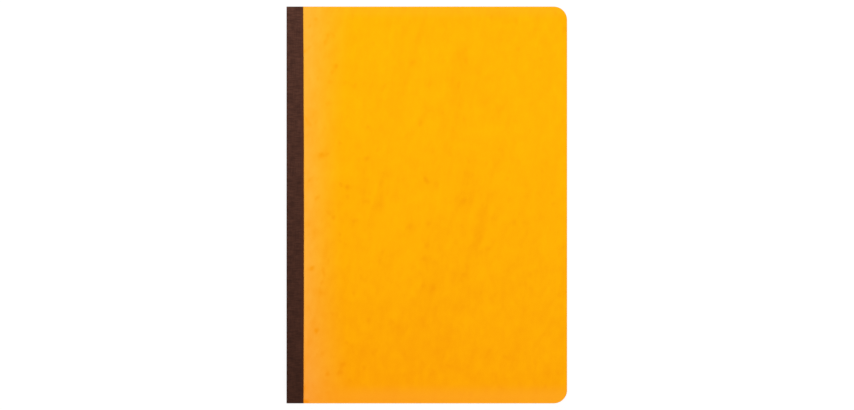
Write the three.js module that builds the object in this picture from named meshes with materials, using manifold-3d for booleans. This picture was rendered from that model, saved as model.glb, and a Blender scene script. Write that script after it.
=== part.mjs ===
// Columnar ledger book: a sewn, flush-cut account book in A4 upright size.
//
// Units are millimetres. The closed book lies on its back cover. +X runs from the spine to the
// fore-edge, +Y from the tail to the head, and +Z from the back cover to the front cover. The origin
// is under the middle of the book.

import * as THREE from 'three';
import { mergeVertices } from 'three/addons/utils/BufferGeometryUtils.js';
import Module from 'manifold-3d';

// Trimmed size of the book, cut flush on three edges
const bookWidth = 210;
const bookHeight = 297;
const cornerRadius = 10;
const trimAllowance = 3;

// Covers and endpapers, with the air that is left under each closed cover
const boardThickness = 0.5;
const endpaperThickness = 0.13;
const coverGap = 0.1;

// Cloth tape round the spine, pressed a little into the covers, and the lining behind it
const tapeThickness = 0.2;
const tapeOverlap = 12.5;
const tapeBite = 0.05;
const liningThickness = 0.5;

// Ledger paper, folded into sections
const leafThickness = 0.13;
const leafGap = 0.02;
const sectionCount = 5;
const sheetsPerSection = 4;
const foldLength = 2.4;
const foldGap = 0.01;

// Sewing: thread in each fold, out and back through the paper at each station
const threadDiameter = 0.26;
const threadClearance = 0.03;
const slotClearance = 0.02;
const stationCount = 6;
const kettleInset = 15;
const loopLength = 2.5;
const threadBend = 0.2;

// Running gap between pieces that bend apart, and between the spine's layers
const hingeGap = 0.03;
const layerGap = 0.02;

// Facets of the rounded forms
const cornerSteps = 6;
const foldSteps = 3;
const tapeCornerSteps = 3;
const threadSides = 6;

// Heights in the closed book, from the table up
const leafPitch = leafThickness + leafGap;
const sectionThickness = 2 * sheetsPerSection * leafPitch;
const boardBottom = tapeThickness - tapeBite;
const pastedownBottom = boardBottom + boardThickness;
const flyleafBottom = pastedownBottom + endpaperThickness + coverGap;
const blockBottom = flyleafBottom + endpaperThickness + leafGap / 2;
const blockThickness = sectionCount * sectionThickness;
const bookThickness = 2 * blockBottom + blockThickness;
const middle = bookThickness / 2;

// Places across the spine, from its outer face towards the fore-edge
const liningFace = tapeThickness + liningThickness;
const foldOuterRadius = sectionThickness / 2 - foldGap;
const foldInnerRadius = threadDiameter / 2 + threadClearance;
const foldCentre = liningFace + layerGap + foldOuterRadius;
const foldEnd = foldCentre + foldLength;
const foldedThickness =
  (foldOuterRadius - foldInnerRadius - (sheetsPerSection - 1) * foldGap) / sheetsPerSection;
const boardEdge = tapeThickness + hingeGap;

// Sewing stations along the fold, and the thread's place behind it
const threadRadius = threadDiameter / 2;
const loopCentre = foldCentre - foldOuterRadius - layerGap - threadRadius;
const stationPitch = (bookHeight - 2 * kettleInset) / (stationCount - 1);
const stations = Array.from(
  { length: stationCount },
  (_, i) => kettleInset - bookHeight / 2 + i * stationPitch,
);
const slotHalfLength = loopLength / 2 + threadRadius + threadClearance;

// Colours and surfaces
const finishes = {
  pressboard: new THREE.MeshStandardMaterial({ color: 0xfeaf01, roughness: 0.45, metalness: 0 }),
  bookCloth: new THREE.MeshStandardMaterial({ color: 0x472c23, roughness: 0.85, metalness: 0 }),
  endpaper: new THREE.MeshStandardMaterial({ color: 0xefeadd, roughness: 0.9, metalness: 0 }),
  ledgerPaper: new THREE.MeshStandardMaterial({ color: 0xf6f3e6, roughness: 0.9, metalness: 0 }),
  thread: new THREE.MeshStandardMaterial({ color: 0xf4f1e8, roughness: 0.7, metalness: 0 }),
  crash: new THREE.MeshStandardMaterial({ color: 0xd9cfb4, roughness: 0.95, metalness: 0 }),
};

const wasm = await Module();
wasm.setup();

function toSolid(geometry) {
  const bare = geometry.clone();
  bare.deleteAttribute('normal');
  bare.deleteAttribute('uv');
  const merged = mergeVertices(bare);
  return new wasm.Manifold(
    new wasm.Mesh({
      numProp: 3,
      vertProperties: new Float32Array(merged.attributes.position.array),
      triVerts: new Uint32Array(merged.index.array),
    }),
  );
}

function toGeometry(solid) {
  const { vertProperties, triVerts } = solid.getMesh();
  const geometry = new THREE.BufferGeometry();
  geometry.setAttribute('position', new THREE.BufferAttribute(vertProperties, 3));
  geometry.setIndex(new THREE.BufferAttribute(triVerts, 1));
  geometry.computeVertexNormals();
  return geometry;
}

function block(x0, x1, y0, y1, z0, z1) {
  const geometry = new THREE.BoxGeometry(x1 - x0, y1 - y0, z1 - z0);
  return geometry.translate((x0 + x1) / 2, (y0 + y1) / 2, (z0 + z1) / 2);
}

// Outline of a trimmed piece from above: square at the spine, round at the fore-edge corners
function trimmedOutline(spineEdge) {
  const halfHeight = bookHeight / 2;
  const outline = new THREE.Shape();
  outline.moveTo(spineEdge, -halfHeight);
  outline.lineTo(bookWidth - cornerRadius, -halfHeight);
  outline.absarc(
    bookWidth - cornerRadius,
    cornerRadius - halfHeight,
    cornerRadius,
    -Math.PI / 2,
    0,
  );
  outline.lineTo(bookWidth, halfHeight - cornerRadius);
  outline.absarc(
    bookWidth - cornerRadius,
    halfHeight - cornerRadius,
    cornerRadius,
    0,
    Math.PI / 2,
  );
  outline.lineTo(spineEdge, halfHeight);
  return outline;
}

function trimmedPlate(spineEdge, bottom, thickness) {
  const plate = new THREE.ExtrudeGeometry(trimmedOutline(spineEdge), {
    depth: thickness,
    bevelEnabled: false,
    curveSegments: cornerSteps,
  });
  return plate.translate(0, 0, bottom);
}

// A profile in X and Z, drawn along the spine for a length centred on the book
function alongSpine(profile, length) {
  const shape = new THREE.Shape(profile.map(([x, z]) => new THREE.Vector2(x, z)));
  const geometry = new THREE.ExtrudeGeometry(shape, { depth: length, bevelEnabled: false });
  return geometry.rotateX(Math.PI / 2).translate(0, length / 2, 0);
}

function arcPoints(centreX, centreZ, radius, from, to, steps) {
  return Array.from({ length: steps + 1 }, (_, i) => {
    const angle = from + ((to - from) * i) / steps;
    return [centreX + radius * Math.cos(angle), centreZ + radius * Math.sin(angle)];
  });
}

// Everything above the middle of the book mirrors what lies below it
function acrossMiddle(geometry) {
  return geometry.clone().rotateX(Math.PI).translate(0, 0, 2 * middle);
}

// Cover board, with the shallow bed that the tape's flap is pressed into
function board() {
  const plate = trimmedPlate(boardEdge, boardBottom, boardThickness);
  const past = trimAllowance;
  const bed = block(
    boardEdge - past,
    tapeOverlap + hingeGap,
    -bookHeight / 2 - past,
    bookHeight / 2 + past,
    boardBottom - past,
    tapeThickness,
  );
  return toGeometry(toSolid(plate).subtract(toSolid(bed)));
}

// Tape on the cover, rounding the spine's edge
function tapeFlap() {
  const bend = tapeThickness;
  const corner = arcPoints(bend, bend, bend, Math.PI, 1.5 * Math.PI, tapeCornerSteps);
  return alongSpine([...corner, [tapeOverlap, 0], [tapeOverlap, tapeThickness]], bookHeight);
}

// Tape on the spine, from the flap's corner to the middle of the book
function tapePanel() {
  const top = middle - layerGap / 2;
  const bottom = tapeThickness + hingeGap;
  return block(0, tapeThickness, -bookHeight / 2, bookHeight / 2, bottom, top);
}

// Height of a section's fold line, counted from the front cover
function sectionCentre(number) {
  return bookThickness - blockBottom - (number - 0.5) * sectionThickness;
}

// Lining: bedded round the thread's loops behind each fold
function lining() {
  const bottom = flyleafBottom;
  const top = middle - layerGap / 2;
  const body = block(tapeThickness, liningFace, -bookHeight / 2, bookHeight / 2, bottom, top);
  const bed = loopCentre - threadRadius - threadClearance;
  const halfHeight = threadRadius + threadClearance;
  let solid = toSolid(body);
  for (let number = 1; number <= sectionCount; number += 1) {
    const centre = sectionCentre(number);
    for (const y of stations) {
      const groove = block(
        bed,
        liningFace + layerGap,
        y - slotHalfLength,
        y + slotHalfLength,
        centre - halfHeight,
        centre + halfHeight,
      );
      solid = solid.subtract(toSolid(groove));
    }
  }
  return toGeometry(solid);
}

// One face of a folded sheet, above its fold line: along the leaf, down the shoulder and round the
// fold as far as the given height above the fold line
function sheetFace(level, radius, lastHeight) {
  const lastAngle = Math.PI - Math.asin(lastHeight / radius);
  const leaf = [
    [bookWidth + trimAllowance, level],
    [foldEnd, level],
  ];
  return [...leaf, ...arcPoints(foldCentre, 0, radius, Math.PI / 2, lastAngle, foldSteps)];
}

// The two faces of a sheet, by its place in the section: 1 is outermost
function sheetFaces(order, lastHeight) {
  const place = sheetsPerSection - order;
  const level = place * leafPitch + leafGap / 2;
  const radius = foldInnerRadius + place * (foldedThickness + foldGap);
  return {
    outer: sheetFace(level + leafThickness, radius + foldedThickness, lastHeight),
    inner: sheetFace(level, radius, lastHeight),
  };
}

function foldedSheetProfile(order) {
  const { outer, inner } = sheetFaces(order, 0);
  const flip = ([x, z]) => [x, -z];
  const outside = [...outer, ...outer.slice(0, -1).reverse().map(flip)];
  const inside = [...inner.slice(0, -1).map(flip), ...inner.slice().reverse()];
  return [...outside, ...inside];
}

function leafProfile(order, side) {
  const { outer, inner } = sheetFaces(order, layerGap / 2);
  return [...outer, ...inner.reverse()].map(([x, z]) => [x, side * z]);
}

const trimBlock = toSolid(trimmedPlate(0, 0, bookThickness));

// Slots through a fold, where the thread passes out to the back and in again
function sewingSlots(centre) {
  const halfHeight = threadRadius + slotClearance;
  return stations.map((y) =>
    toSolid(
      block(
        liningFace,
        foldCentre,
        y - slotHalfLength,
        y + slotHalfLength,
        centre - halfHeight,
        centre + halfHeight,
      ),
    ),
  );
}

// Paper is sewn oversize and then trimmed with the whole book
function sewnPaper(profile, centre) {
  const blank = alongSpine(profile, bookHeight + 2 * trimAllowance).translate(0, 0, centre);
  const trimmed = toSolid(blank).intersect(trimBlock);
  return toGeometry(sewingSlots(centre).reduce((paper, slot) => paper.subtract(slot), trimmed));
}

// Path of the thread from the tail kettle stitch to the head one, seen from above: inside the fold
// between stations and behind it at each one, with its corners cut once
function threadPath() {
  const half = loopLength / 2;
  const corners = stations.flatMap((y) => [
    new THREE.Vector2(foldCentre, y - half),
    new THREE.Vector2(loopCentre, y - half),
    new THREE.Vector2(loopCentre, y + half),
    new THREE.Vector2(foldCentre, y + half),
  ]);
  const route = corners.slice(1, -1);
  const path = [route[0]];
  for (let i = 1; i < route.length - 1; i += 1) {
    const back = route[i - 1].clone().sub(route[i]).setLength(threadBend);
    const ahead = route[i + 1].clone().sub(route[i]).setLength(threadBend);
    path.push(back.add(route[i]), ahead.add(route[i]));
  }
  path.push(route[route.length - 1]);
  return path;
}

// Round thread swept along the path, with mitred joints and flat ends
function sewingThread(centre) {
  const path = threadPath();
  const positions = [];
  const index = [];
  path.forEach((point, i) => {
    const before = point.clone().sub(path[Math.max(i - 1, 0)]).normalize();
    const after = path[Math.min(i + 1, path.length - 1)].clone().sub(point).normalize();
    const along = before.clone().add(after).normalize();
    const reach = threadRadius / Math.max(along.dot(before), along.dot(after));
    for (let side = 0; side < threadSides; side += 1) {
      const angle = (2 * Math.PI * side) / threadSides;
      const across = reach * Math.cos(angle);
      const height = threadRadius * Math.sin(angle);
      positions.push(point.x - along.y * across, point.y + along.x * across, centre + height);
    }
  });
  for (let ring = 0; ring < path.length - 1; ring += 1) {
    for (let side = 0; side < threadSides; side += 1) {
      const a = ring * threadSides + side;
      const b = ring * threadSides + ((side + 1) % threadSides);
      index.push(a, b, a + threadSides, b, b + threadSides, a + threadSides);
    }
  }
  const last = (path.length - 1) * threadSides;
  for (let side = 1; side < threadSides - 1; side += 1) {
    index.push(0, side + 1, side, last, last + side, last + side + 1);
  }
  const geometry = new THREE.BufferGeometry();
  geometry.setAttribute('position', new THREE.Float32BufferAttribute(positions, 3));
  geometry.setIndex(index);
  geometry.computeVertexNormals();
  return geometry;
}

const book = new THREE.Group();
book.position.x = -bookWidth / 2;

function place(name, geometry, finish) {
  const mesh = new THREE.Mesh(geometry, finishes[finish].clone());
  mesh.name = name;
  book.add(mesh);
}

// Covers with their endpapers and tape: the front one mirrors the back one
const backCover = {
  board: [board(), 'pressboard'],
  pastedown: [trimmedPlate(boardEdge, pastedownBottom, endpaperThickness), 'endpaper'],
  flyleaf: [
    trimmedPlate(foldCentre - foldOuterRadius, flyleafBottom, endpaperThickness),
    'endpaper',
  ],
  tape_flap: [tapeFlap(), 'bookCloth'],
  tape_spine: [tapePanel(), 'bookCloth'],
  spine_lining: [lining(), 'crash'],
};
for (const [name, [geometry, finish]] of Object.entries(backCover)) {
  place(`back_${name}`, geometry, finish);
  place(`front_${name}`, acrossMiddle(geometry), finish);
}

// Book block: whole folded sheets, but single leaves in a section that lies across the middle
for (let number = 1; number <= sectionCount; number += 1) {
  const centre = sectionCentre(number);
  const acrossOpening = 2 * number === sectionCount + 1;
  for (let order = 1; order <= sheetsPerSection; order += 1) {
    const name = `section_${number}_sheet_${order}`;
    if (acrossOpening) {
      place(`${name}_upper_leaf`, sewnPaper(leafProfile(order, 1), centre), 'ledgerPaper');
      place(`${name}_lower_leaf`, sewnPaper(leafProfile(order, -1), centre), 'ledgerPaper');
    } else {
      place(name, sewnPaper(foldedSheetProfile(order), centre), 'ledgerPaper');
    }
  }
  place(`section_${number}_thread`, sewingThread(centre), 'thread');
}

export default book;
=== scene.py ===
"""Columnar ledger book: closed A4 account book with pressboard covers and a cloth spine tape.

Lengths are metres in the book's own frame: +X runs from the spine to the fore-edge, +Y from the
tail to the head, and +Z from the back cover to the front cover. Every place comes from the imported
model, and every piece is built where it lies in the closed book.
"""

from __future__ import annotations

import logging
import math
from dataclasses import dataclass, field
from enum import Enum
from typing import Any, Mapping, Sequence

import bmesh
import bpy
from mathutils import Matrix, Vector

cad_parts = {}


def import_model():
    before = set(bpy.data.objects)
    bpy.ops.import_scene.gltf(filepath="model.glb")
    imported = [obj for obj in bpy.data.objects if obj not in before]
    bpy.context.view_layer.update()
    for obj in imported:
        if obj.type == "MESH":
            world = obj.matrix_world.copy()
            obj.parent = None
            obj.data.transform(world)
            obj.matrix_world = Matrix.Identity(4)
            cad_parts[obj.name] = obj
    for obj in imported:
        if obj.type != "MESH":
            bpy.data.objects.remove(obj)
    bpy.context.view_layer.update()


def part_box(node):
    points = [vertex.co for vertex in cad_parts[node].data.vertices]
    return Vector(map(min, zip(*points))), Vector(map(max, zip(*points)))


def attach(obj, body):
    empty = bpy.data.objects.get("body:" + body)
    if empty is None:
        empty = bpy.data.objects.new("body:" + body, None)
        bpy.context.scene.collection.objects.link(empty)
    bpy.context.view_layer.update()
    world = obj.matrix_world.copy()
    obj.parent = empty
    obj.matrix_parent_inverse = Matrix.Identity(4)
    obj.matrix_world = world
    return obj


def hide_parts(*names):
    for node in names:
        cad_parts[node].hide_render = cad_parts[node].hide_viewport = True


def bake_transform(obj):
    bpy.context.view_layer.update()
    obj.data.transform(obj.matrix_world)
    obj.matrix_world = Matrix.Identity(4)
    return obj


MM = 0.001
TOUCH = 0.01 * MM
QUARTER = math.pi / 2
SOFT_EDGE = 0.3
LOG = logging.getLogger("ledger_book")

Colour = tuple[float, float, float]
Point = tuple[float, float, float]
Span = tuple[float, float]


class Side(Enum):
    """The two covers, with the sign of Z that points out of each."""

    FRONT = 1
    BACK = -1

    @property
    def word(self) -> str:
        """Name that this side's nodes start with."""
        return self.name.lower()

    @property
    def half(self) -> str:
        """Body of this side's half of the book block."""
        return f"{self.word}_half"

    @property
    def cover(self) -> str:
        """Body of this side's cover."""
        return f"{self.word}_cover"


class Page(Enum):
    """Surfaces of a leaf, with where each starts on the ruling's chart along U, in metres."""

    RECTO = 0.0
    VERSO = 0.25
    CUT = 0.6


@dataclass(frozen=True)
class BookPlan:
    """Places in the closed book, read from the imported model."""

    spine: float
    fore_edge: float
    tail: float
    head: float
    bottom: float
    top: float
    tape_edge: float
    tape_thickness: float
    board_edge: float
    board_face: float
    board_thickness: float
    corner_radius: float = 10 * MM

    @classmethod
    def read(cls) -> BookPlan:
        """Takes the outline and the layers from the boxes of the covers' nodes.

        Returns:
            The places.
        """
        board_low, board_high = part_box("front_board")
        _, flap_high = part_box("front_tape_flap")
        spine_low, spine_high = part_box("front_tape_spine")
        back_low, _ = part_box("back_tape_flap")
        return cls(
            spine=spine_low.x,
            fore_edge=board_high.x,
            tail=board_low.y,
            head=board_high.y,
            bottom=back_low.z,
            top=flap_high.z,
            tape_edge=flap_high.x,
            tape_thickness=spine_high.x - spine_low.x,
            board_edge=board_low.x,
            board_face=board_high.z,
            board_thickness=board_high.z - board_low.z,
        )

    @property
    def middle(self) -> float:
        """Height of the middle opening."""
        return (self.top + self.bottom) / 2

    @property
    def height(self) -> float:
        """Length of the spine."""
        return self.head - self.tail


class Term:
    """A number that varies over a surface, worked out with Python's own operators."""

    def __init__(self, graph: Graph, socket: bpy.types.NodeSocket) -> None:
        """Wraps one output socket of a node graph."""
        self.graph = graph
        self.socket = socket

    def _math(self, operation: str, *values: Term | float) -> Term:
        """Adds one Math node over the values."""
        node = self.graph.node("ShaderNodeMath", {"operation": operation}, dict(enumerate(values)))
        return Term(self.graph, node.outputs[0])

    def __add__(self, other: Term | float) -> Term:
        """Sum."""
        return self._math("ADD", self, other)

    __radd__ = __add__

    def __sub__(self, other: Term | float) -> Term:
        """Difference."""
        return self._math("SUBTRACT", self, other)

    def __rsub__(self, other: Term | float) -> Term:
        """Difference from a plain number."""
        return self._math("SUBTRACT", other, self)

    def __mul__(self, other: Term | float) -> Term:
        """Product."""
        return self._math("MULTIPLY", self, other)

    __rmul__ = __mul__

    def __truediv__(self, other: Term | float) -> Term:
        """Quotient."""
        return self._math("DIVIDE", self, other)

    def __mod__(self, other: Term | float) -> Term:
        """Remainder, never negative for a positive divisor."""
        return self._math("FLOORED_MODULO", self, other)

    def __abs__(self) -> Term:
        """Size without its sign."""
        return self._math("ABSOLUTE", self)

    def above(self, other: float) -> Term:
        """1 where the value is greater than the other, and 0 elsewhere."""
        return self._math("GREATER_THAN", self, other)

    def most(self, other: Term | float) -> Term:
        """The greater of the two."""
        return self._math("MAXIMUM", self, other)

    def least(self, other: Term | float) -> Term:
        """The smaller of the two."""
        return self._math("MINIMUM", self, other)

    def root(self) -> Term:
        """Square root."""
        return self._math("SQRT", self)

    def sine(self) -> Term:
        """Sine of the value in radians."""
        return self._math("SINE", self)

    def whole(self) -> Term:
        """The value without its fraction."""
        return self._math("FLOOR", self)

    def rise(self, low: float, high: float) -> Term:
        """Smooth step from 0 at low to 1 at high.

        Args:
            low: value at which the step starts.
            high: value at which it ends.

        Returns:
            The step, between 0 and 1.
        """
        settings = {"interpolation_type": "SMOOTHSTEP"}
        node = self.graph.node("ShaderNodeMapRange", settings, {0: self, 1: low, 2: high})
        return Term(self.graph, node.outputs[0])

    def line(self, pitch: float, offset: float, width: float) -> Term:
        """Ruled lines, one at the offset and the others at every pitch from it."""
        nearest = (self - offset + pitch / 2) % pitch - pitch / 2
        return nearest.stroke(width, SOFT_EDGE)

    def stroke(self, width: float, softness: float) -> Term:
        """1 on a line of a width where the value is 0, with edges that fade by a share of half of it."""
        half = width / 2
        return 1 - abs(self).rise(half * (1 - softness), half * (1 + softness))


class Graph:
    """Node tree of a material or of the world."""

    def __init__(self, owner: bpy.types.Material | bpy.types.World, output: str) -> None:
        """Clears the owner's tree and gives it its output node.

        Args:
            owner: the material or the world.
            output: type of its output node.
        """
        owner.use_nodes = True
        self.tree = owner.node_tree
        self.tree.nodes.clear()
        self.output = self.node(output)

    def node(
        self,
        kind: str,
        settings: Mapping[str, Any] | None = None,
        inputs: Mapping[Any, Any] | None = None,
    ) -> bpy.types.Node:
        """Adds a node.

        Args:
            kind: type of the node.
            settings: its own properties, which are set first.
            inputs: values or links of its sockets, by name or number.

        Returns:
            The new node.
        """
        node = self.tree.nodes.new(kind)
        for name, value in (settings or {}).items():
            setattr(node, name, value)
        for key, value in (inputs or {}).items():
            socket = node.inputs[key]
            if isinstance(value, Term):
                self.tree.links.new(value.socket, socket)
            elif isinstance(value, bpy.types.NodeSocket):
                self.tree.links.new(value, socket)
            elif isinstance(value, tuple) and len(value) == 3 and socket.type == "RGBA":
                socket.default_value = (*value, 1.0)
            else:
                socket.default_value = value
        return node

    def show(self, socket: bpy.types.NodeSocket) -> None:
        """Links a shader to the output."""
        self.tree.links.new(socket, self.output.inputs[0])

    def shader(self, kind: str, **inputs: Any) -> bpy.types.NodeSocket:
        """Adds a plain shader node and returns its output."""
        return self.node(kind, {}, inputs).outputs[0]

    def blend(self, mask: Term, *shaders: bpy.types.NodeSocket) -> bpy.types.NodeSocket:
        """Shader that goes from the first to the second as the mask goes from 0 to 1."""
        return self.node("ShaderNodeMixShader", {}, {0: mask, 1: shaders[0], 2: shaders[1]}).outputs[0]

    def rays(self, *kinds: str) -> Term:
        """Tells some kinds of rays from the others.

        Args:
            kinds: the kinds that count, such as Camera.

        Returns:
            1 for a ray of one of these kinds, and 0 for others.
        """
        outputs = self.node("ShaderNodeLightPath").outputs
        found = [Term(self, outputs[f"Is {kind} Ray"]) for kind in kinds]
        return sum(found[1:], found[0])


@dataclass(frozen=True)
class Noise:
    """Cloudy pattern, by its number of features to the metre and how it is stretched and turned."""

    scale: float
    detail: float = 2.0
    roughness: float = 0.5
    distortion: float = 0.0
    stretch: Point = (1.0, 1.0, 1.0)
    turn: float = 0.0


class Paint(Graph):
    """Node tree of one material."""

    def __init__(self, name: str) -> None:
        """Makes an empty material with an output."""
        self.material = bpy.data.materials.new(name)
        super().__init__(self.material, "ShaderNodeOutputMaterial")

    def place(self) -> bpy.types.NodeSocket:
        """Object coordinates, for a pattern that goes through the sheet."""
        return self.node("ShaderNodeTexCoord").outputs["Object"]

    def chart(self) -> bpy.types.NodeSocket:
        """The piece's own UV map, in metres along its surface."""
        return self.node("ShaderNodeUVMap").outputs[0]

    def parts(self, vector: bpy.types.NodeSocket) -> tuple[Term, Term, Term]:
        """The three numbers of a vector."""
        outputs = self.node("ShaderNodeSeparateXYZ", {}, {0: vector}).outputs
        return Term(self, outputs[0]), Term(self, outputs[1]), Term(self, outputs[2])

    def noise(self, where: bpy.types.NodeSocket, kind: Noise) -> Term:
        """Lays a cloudy pattern.

        Args:
            where: coordinates that it lies on.
            kind: the pattern, stretched first and then turned about Z.

        Returns:
            Its value, between 0 and 1.
        """
        laid = {"Vector": where, "Scale": kind.stretch, "Rotation": (0.0, 0.0, kind.turn)}
        mapping = self.node("ShaderNodeMapping", {"vector_type": "TEXTURE"}, laid)
        inputs = {
            "Vector": mapping.outputs[0],
            "Scale": kind.scale,
            "Detail": kind.detail,
            "Roughness": kind.roughness,
            "Distortion": kind.distortion,
        }
        return Term(self, self.node("ShaderNodeTexNoise", {}, inputs).outputs["Fac"])

    def mix(
        self,
        mask: Term | float,
        first: Colour | bpy.types.NodeSocket,
        second: Colour | bpy.types.NodeSocket,
        blend: str = "MIX",
    ) -> bpy.types.NodeSocket:
        """Colour that goes from the first to the second as the mask goes from 0 to 1."""
        settings = {"data_type": "RGBA", "blend_type": blend}
        return self.node("ShaderNodeMix", settings, {0: mask, 6: first, 7: second}).outputs[2]

    def bump(self, height: Term, strength: float, distance: float) -> bpy.types.NodeSocket:
        """Normal that a height between 0 and 1 gives."""
        inputs = {"Height": height, "Strength": strength, "Distance": distance}
        return self.node("ShaderNodeBump", {}, inputs).outputs[0]

    def close(self, **sockets: Any) -> bpy.types.Material:
        """Gives the surface its shader.

        Args:
            sockets: values or links of the shader's sockets, with _ for each space.

        Returns:
            The finished material.
        """
        inputs = {name.replace("_", " "): value for name, value in sockets.items()}
        self.show(self.node("ShaderNodeBsdfPrincipled", {}, inputs).outputs[0])
        return self.material


@dataclass(frozen=True)
class Pressboard:
    """Lustrous pressboard, dyed through, with the darker flocks of its furnish, and with painted sheen
    and painted shade in its colour.
    """

    amber: Colour = (0.976, 0.456, 0.0006)
    flock: Colour = (0.916, 0.353, 0.0004)
    clouds: Noise = Noise(38.0, 3.0)
    cloud_share: float = 0.55
    mottle: Noise = Noise(135.0, 4.0, roughness=0.58, stretch=(0.85, 1.5, 1.0), turn=-0.12)
    mottle_share: float = 1.05
    clear_share: float = 0.57
    streaks: Noise = Noise(75.0, distortion=0.25, stretch=(1.0, 5.5, 1.0), turn=-0.24)
    streak_band: Span = (0.52, 0.80)
    streak_share: float = 0.30
    spots: Noise = Noise(125.0, 1.0, stretch=(1.0, 1.35, 1.0), turn=-0.15)
    spot_band: Span = (0.60, 0.86)
    spot_share: float = 0.95
    crowd_band: Span = (20 * MM, 70 * MM)
    crowd_loss: float = 0.55
    haze: Colour = (0.952, 0.463, 0.048)
    haze_flock: Colour = (0.933, 0.350, 0.003)
    haze_width: float = 31 * MM
    haze_spread: float = 0.35
    pale: Colour = (0.972, 0.436, 0.014)
    head_band: Span = (0.008, 0.035)
    head_share: float = 0.30
    tail_band: Span = (0.945, 0.985)
    tail_share: float = 0.65
    tail_tone: Colour = (0.986, 0.76, 1.0)
    tail_late: float = 0.3
    fore_edge_loss: float = 1 / 3
    worn: Colour = (0.90, 0.375, 0.010)
    worn_band: Span = (0.05 * MM, 0.6 * MM)
    gloss: float = 0.03
    roughness: float = 0.31
    mottle_roughness: float = 0.08
    relief: float = 0.2
    relief_depth: float = 0.03 * MM
    relief_mottle: float = 0.4
    fibres: Noise = Noise(9000.0, 3.0, stretch=(5.0, 5.0, 1.0))
    plies: Noise = Noise(9000.0, 1.0, stretch=(40.0, 40.0, 1.0))
    ply_share: float = 0.4
    cut_dark: Colour = (0.56, 0.205, 0.003)
    cut_light: Colour = (0.95, 0.42, 0.02)

    def face(self, plan: BookPlan) -> bpy.types.Material:
        """Makes the material of the sheet's two faces.

        Args:
            plan: places of the tape and of the cut edges.

        Returns:
            The material.
        """
        paint = Paint("pressboard_face")
        where = paint.place()
        x, y, _ = paint.parts(where)
        past_tape = x - plan.tape_edge
        from_head = (plan.head - y) / plan.height
        clouds = paint.noise(where, self.clouds)
        mottle = paint.noise(where, self.mottle)
        flocks = self.cloud_share * clouds + self.mottle_share * mottle - self.clear_share
        flocks = flocks + self._streaks_and_spots(paint, where, past_tape)
        colour = paint.mix(flocks, self.amber, self.flock)
        # Painted sheen: a paler colour near the tape stands in for light caught where the cover curves
        # towards the spine.
        sheen_mask = self._nearness(past_tape, from_head)
        colour = paint.mix(sheen_mask * sheen_mask, colour, paint.mix(flocks, self.haze, self.haze_flock))
        # Painted sheen: paler strips along the head and the tail.
        head_sheen = self.head_share * (1 - from_head.rise(*self.head_band))
        ends = head_sheen.most(self.tail_share * from_head.rise(*self.tail_band))
        colour = paint.mix(ends * (1 - sheen_mask), colour, self.pale)
        # Painted shade: the colour darkens towards the tail, where the light falls off, and less so
        # towards the fore-edge.
        reach = past_tape / (plan.fore_edge - plan.tape_edge)
        late = 1 - self.tail_late * (1 - from_head)
        painted_shade_depth = from_head * from_head * late * (1 - self.fore_edge_loss * reach)
        painted_light_falloff = paint.mix(painted_shade_depth, (1.0, 1.0, 1.0), self.tail_tone)
        colour = paint.mix(1.0, colour, painted_light_falloff, "MULTIPLY")
        # Darker band within 0.6 mm of the cut edges.
        colour = paint.mix(1 - self._inset(x, y, plan).rise(*self.worn_band), colour, self.worn)
        height = clouds * (1 - self.relief_mottle) + mottle * self.relief_mottle
        return paint.close(
            Base_Color=colour,
            Roughness=self.roughness + self.mottle_roughness * mottle,
            Specular_IOR_Level=self.gloss,
            Normal=paint.bump(height, self.relief, self.relief_depth),
        )

    def _streaks_and_spots(self, paint: Paint, where: bpy.types.NodeSocket, past_tape: Term) -> Term:
        """Adds the drawn-out flocks, and the small ones that crowd towards the spine.

        Args:
            paint: the material.
            where: coordinates of the sheet.
            past_tape: distance from the tape's edge.

        Returns:
            How dark they are, from 0.
        """
        streaks = paint.noise(where, self.streaks).rise(*self.streak_band)
        spots = paint.noise(where, self.spots).rise(*self.spot_band)
        crowd = 1 - self.crowd_loss * past_tape.rise(*self.crowd_band)
        return self.streak_share * streaks + self.spot_share * crowd * spots

    def _nearness(self, past_tape: Term, from_head: Term) -> Term:
        """Measures how near a place is to the tape, across a painted sheen that widens towards both
        ends.

        Args:
            past_tape: distance from the tape's edge.
            from_head: share of the height below the head.

        Returns:
            1 at the tape's edge, falling to 0 where the painted sheen ends.
        """
        outward = 2 * from_head - 1
        width = self.haze_width * (1 + self.haze_spread * outward * outward)
        return 1 - (past_tape / width).least(1.0)

    def _inset(self, x: Term, y: Term, plan: BookPlan) -> Term:
        """Measures the distance in from the nearest cut edge, round the corners too.

        Args:
            x: place from the spine to the fore-edge.
            y: place from the tail to the head.
            plan: places of the edges.

        Returns:
            The distance.
        """
        radius = plan.corner_radius
        across = x - (plan.fore_edge - radius)
        along = abs(y - (plan.head + plan.tail) / 2) - (plan.height / 2 - radius)
        past_x, past_y = across.most(0.0), along.most(0.0)
        return radius - (past_x * past_x + past_y * past_y).root() - across.most(along).least(0.0)

    def cut(self) -> bpy.types.Material:
        """Makes the material of the sheet's cut edges, where the fibres show.

        Returns:
            The material.
        """
        paint = Paint("pressboard_cut")
        where = paint.place()
        fibres = paint.noise(where, self.fibres)
        plies = paint.noise(where, self.plies)
        mask = fibres * (1 - self.ply_share) + plies * self.ply_share
        return paint.close(
            Base_Color=paint.mix(mask, self.cut_dark, self.cut_light),
            Roughness=0.85,
            Specular_IOR_Level=0.2,
            Normal=paint.bump(fibres, strength=0.6, distance=0.04 * MM),
        )


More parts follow.
